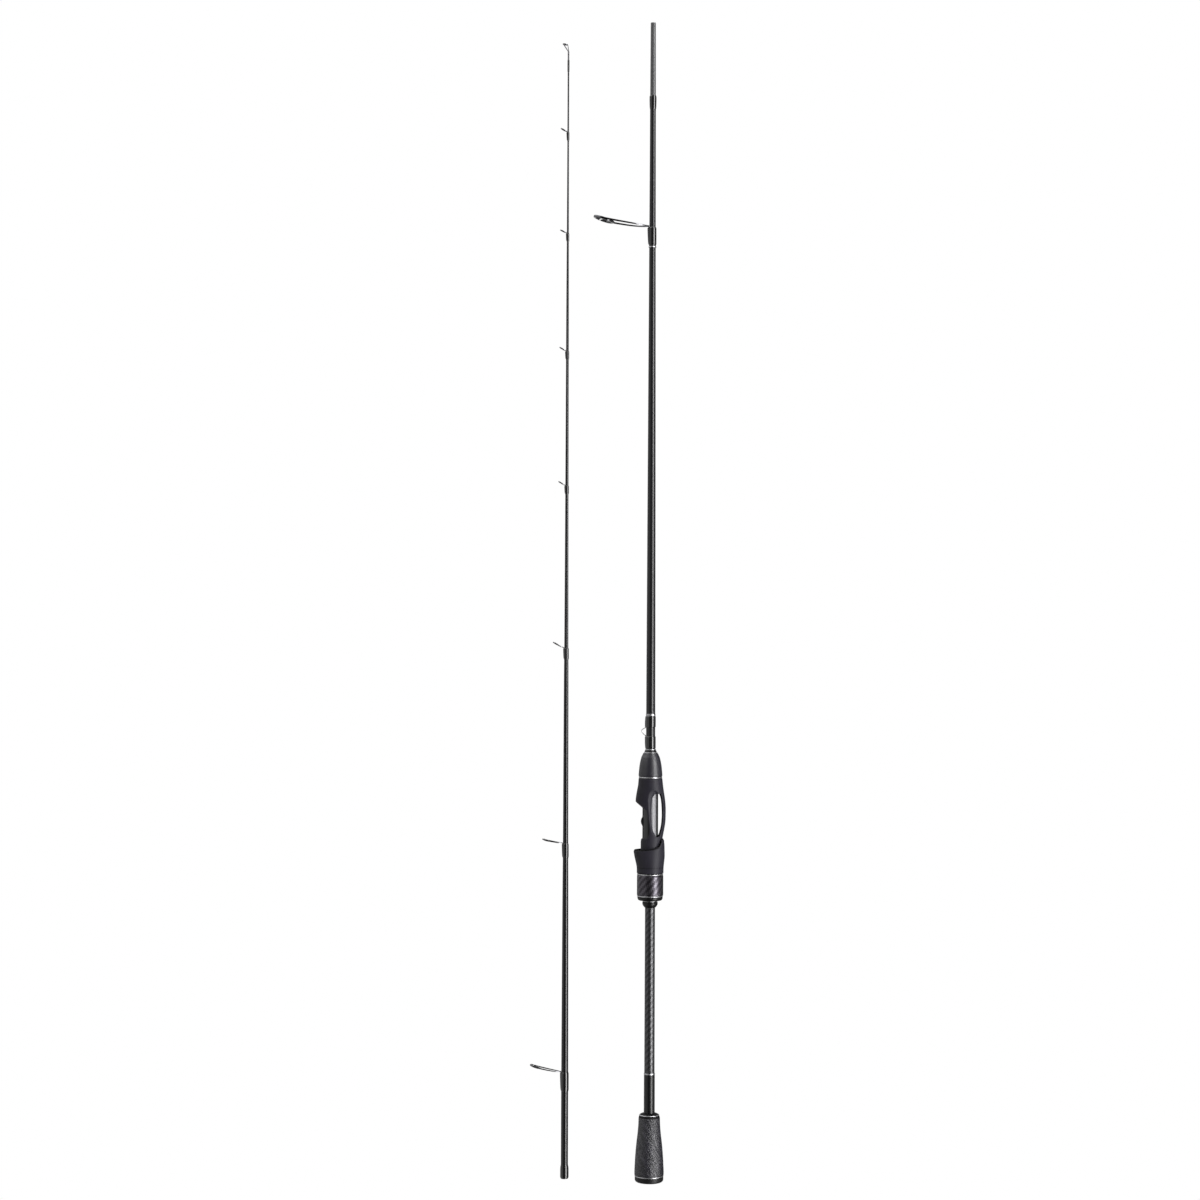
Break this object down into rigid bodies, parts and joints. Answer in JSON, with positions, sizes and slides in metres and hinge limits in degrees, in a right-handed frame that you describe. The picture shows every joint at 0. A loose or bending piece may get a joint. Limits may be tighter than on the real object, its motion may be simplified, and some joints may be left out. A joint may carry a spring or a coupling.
{
  "type": "spinning rod",
  "caption": "Slim spinning fishing rod standing in its sections: handle with split grips and open reel seat beside the thinner tip section with small ring guides.",
  "frame": {"origin": "middle of the butt cap's flat end, on the axis of the butt section", "axes": "+Z along both sections towards their tips, -X the way the guides and the reel's foot point, +Y away from the viewer of the front"},
  "size_m": [0.1294, 0.0282, 1.11],
  "materials": {
    "satin_graphite": "satin dark grey-black graphite",
    "gloss_thread_epoxy": "gloss black epoxy over thread",
    "bright_ring": "bright turned metal",
    "dark_frame_metal": "dark polished metal",
    "grey_ceramic": "polished grey ceramic",
    "soft_touch_seat": "soft-touch black",
    "black_plastic": "semi-gloss black",
    "woven_carbon": "clear-coated woven carbon",
    "grip_skin": "textured dark grey grip skin",
    "satin_plate": "satin silver-grey",
    "butt_rubber": "matte black",
    "arbor_foam": "rigid grey foam"
  },
  "bodies": {
    "butt_section": {"butt_blank": "satin_graphite", "ferrule_wrap": "gloss_thread_epoxy", "stripper_frame": "dark_frame_metal", "stripper_ring": "grey_ceramic", "stripper_wrap": "gloss_thread_epoxy", "stripper_trim": "bright_ring", "keeper_trim": "bright_ring", "keeper_front_wrap": "gloss_thread_epoxy", "keeper_rear_wrap": "gloss_thread_epoxy", "keeper_wire": "bright_ring", "winding_check": "black_plastic", "check_ring": "bright_ring", "foregrip": "butt_rubber", "foregrip_ring": "bright_ring", "seat_shell": "soft_touch_seat", "seat_core": "black_plastic", "foot_pad": "butt_rubber", "seat_plate_left": "satin_plate", "seat_plate_right": "satin_plate", "seat_arbor": "arbor_foam", "rear_collar": "black_plastic", "rear_tube": "woven_carbon", "rear_tube_ring": "bright_ring", "lower_wrap": "gloss_thread_epoxy", "grip_check": "black_plastic", "rear_grip": "grip_skin", "grip_ring": "bright_ring", "butt_cap": "butt_rubber"},
    "sliding_hood": {"sliding_hood": "soft_touch_seat"},
    "lock_nut": {"nut_core": "black_plastic", "nut_front_ring": "bright_ring", "nut_sleeve": "woven_carbon", "nut_rear_ring": "bright_ring"},
    "tip_section": {"tip_blank": "satin_graphite", "tip_socket": "satin_graphite", "socket_wrap": "gloss_thread_epoxy", "tip_top_frame": "dark_frame_metal", "tip_top_ring": "grey_ceramic", "tip_top_wrap": "gloss_thread_epoxy", "guide_1_frame": "dark_frame_metal", "guide_1_ring": "grey_ceramic", "guide_1_wrap": "gloss_thread_epoxy", "guide_2_frame": "dark_frame_metal", "guide_2_ring": "grey_ceramic", "guide_2_wrap": "gloss_thread_epoxy", "guide_3_frame": "dark_frame_metal", "guide_3_ring": "grey_ceramic", "guide_3_wrap": "gloss_thread_epoxy", "guide_4_frame": "dark_frame_metal", "guide_4_ring": "grey_ceramic", "guide_4_wrap": "gloss_thread_epoxy", "guide_5_frame": "dark_frame_metal", "guide_5_ring": "grey_ceramic", "guide_5_wrap": "gloss_thread_epoxy", "guide_6_frame": "dark_frame_metal", "guide_6_ring": "grey_ceramic", "guide_6_wrap": "gloss_thread_epoxy", "guide_7_frame": "dark_frame_metal", "guide_7_ring": "grey_ceramic", "guide_7_wrap": "gloss_thread_epoxy"}
  },
  "joints": [
    {"name": "hood_slide", "type": "slide", "parent": "butt_section", "child": "sliding_hood", "axis": [0, 0, 1], "range_m": [-0.0142, 0]},
    {"name": "nut_turn", "type": "hinge", "parent": "sliding_hood", "child": "lock_nut", "pos_m": [0, 0, 0.283], "axis": [0, 0, 1], "range_deg": [-2520, 0]},
    {"name": "tip_lift", "type": "slide", "parent": "butt_section", "child": "tip_section", "axis": [0, 0, 1], "range_m": [0, 1.115]}
  ],
  "couplings": [
    {"joint": "hood_slide", "follows": "nut_turn", "m_per_rad": 0.00031831}
  ]
}
